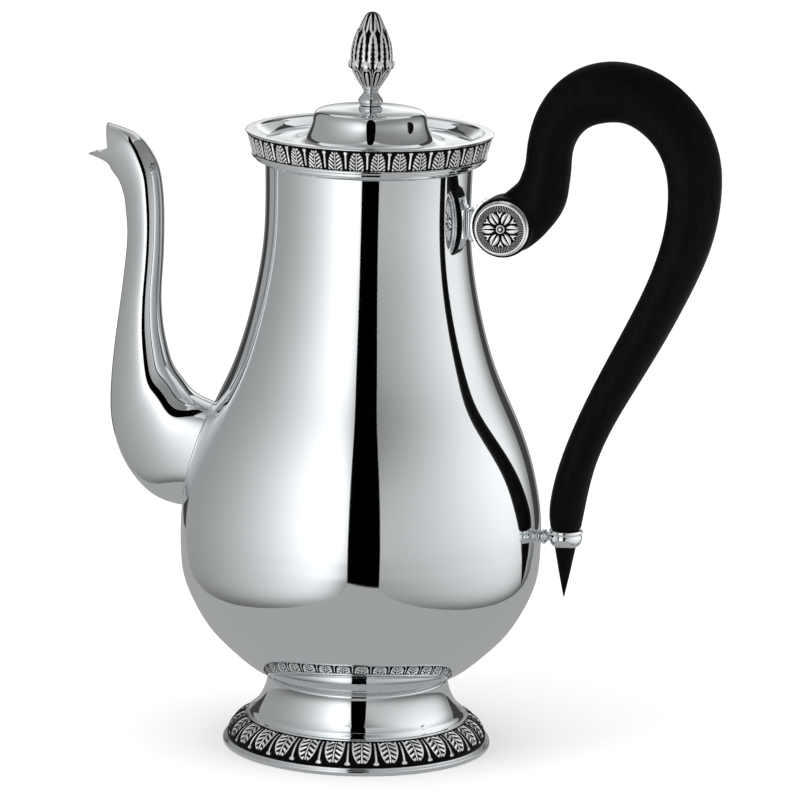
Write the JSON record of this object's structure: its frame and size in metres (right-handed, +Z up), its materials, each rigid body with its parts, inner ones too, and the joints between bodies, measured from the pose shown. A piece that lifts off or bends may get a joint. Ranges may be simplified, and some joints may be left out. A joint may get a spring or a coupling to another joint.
{
  "type": "coffee pot",
  "caption": "Pear-shaped silver coffee pot on a flared leaf-bordered foot, with a swan-neck spout, ebonised scroll handle and a lift-off lid with a bud finial.",
  "frame": {"origin": "centre of the ring the pot stands on, at table height", "axes": "+Z up the axis of the pot, +X from the axis towards the handle, spout towards -X, +Y completes the right-handed frame"},
  "size_m": [0.2418, 0.1364, 0.28],
  "materials": {
    "polished_silver": "mirror-polished silver",
    "oxidised_silver": "polished silver relief with blackened hollows",
    "ebonised_wood": "black ebonised hardwood, satin polish"
  },
  "bodies": {
    "pot": {"body_shell": "polished_silver", "rim_lip": "polished_silver", "rim_leaf_band": "oxidised_silver", "rim_bead": "polished_silver", "lid_seat": "polished_silver", "foot_collar": "polished_silver", "foot_pedestal": "polished_silver", "foot_leaf_ring": "oxidised_silver", "foot_plinth": "polished_silver", "spout": "polished_silver", "spout_flange": "polished_silver", "socket_arm": "polished_silver", "socket_cup": "polished_silver", "handle_grip": "ebonised_wood", "rosette_front": "oxidised_silver", "rosette_back": "oxidised_silver", "scroll_pin": "polished_silver", "link_foot": "polished_silver", "link_bead": "polished_silver", "ferrule": "polished_silver", "ferrule_screw": "polished_silver", "handle_tip": "ebonised_wood"},
    "lid": {"lid_shell": "polished_silver", "lid_bezel": "polished_silver", "finial_base": "polished_silver", "finial_waist": "polished_silver", "finial_calyx": "oxidised_silver", "finial_bud": "oxidised_silver", "finial_stud": "polished_silver", "finial_nut": "polished_silver"}
  },
  "joints": [
    {"name": "lid_lift", "type": "slide", "parent": "pot", "child": "lid", "axis": [0, 0, 1], "range_m": [0, 0.06]}
  ]
}
